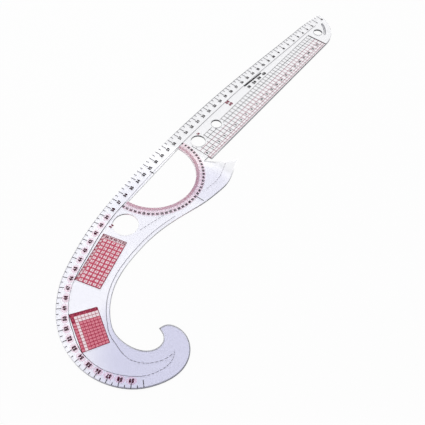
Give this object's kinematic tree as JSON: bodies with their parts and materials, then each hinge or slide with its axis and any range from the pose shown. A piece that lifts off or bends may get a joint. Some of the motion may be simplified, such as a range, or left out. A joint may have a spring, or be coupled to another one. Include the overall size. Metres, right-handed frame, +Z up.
{
  "type": "curve ruler",
  "caption": "Clear flat curve ruler with a straight gridded blade, a D shaped protractor cut-out, round template holes and a hooked tail, for drafting sewing patterns.",
  "frame": {"origin": "centre of the ruler's bounding box, on the plate's underside", "axes": "+X along the straight blade towards its rounded end, +Y towards the long outer curved edge, +Z up out of the printed face"},
  "size_m": [0.5096, 0.159, 0.0024],
  "materials": {
    "clear_plastic": "clear, smooth and glossy, with a faint violet tint",
    "grey_ink": "flat grey print",
    "pale_ink": "flat pale pink print",
    "red_ink": "flat dark red print",
    "black_ink": "flat black print"
  },
  "bodies": {
    "root": {"ruler_plate": "clear_plastic", "edge_scale": "grey_ink", "scale_border_line": "grey_ink", "hook_guide_line": "pale_ink", "bay_guide_line": "pale_ink", "spur_guide_line": "pale_ink", "spur_mark": "grey_ink", "protractor_band": "pale_ink", "protractor_scale": "grey_ink", "protractor_centre_mark": "grey_ink", "blade_grid": "red_ink", "grid_end_bar": "grey_ink", "straight_edge_scale": "red_ink", "upper_number_table": "red_ink", "lower_number_table": "red_ink", "scale_bar": "black_ink"}
  },
  "joints": []
}
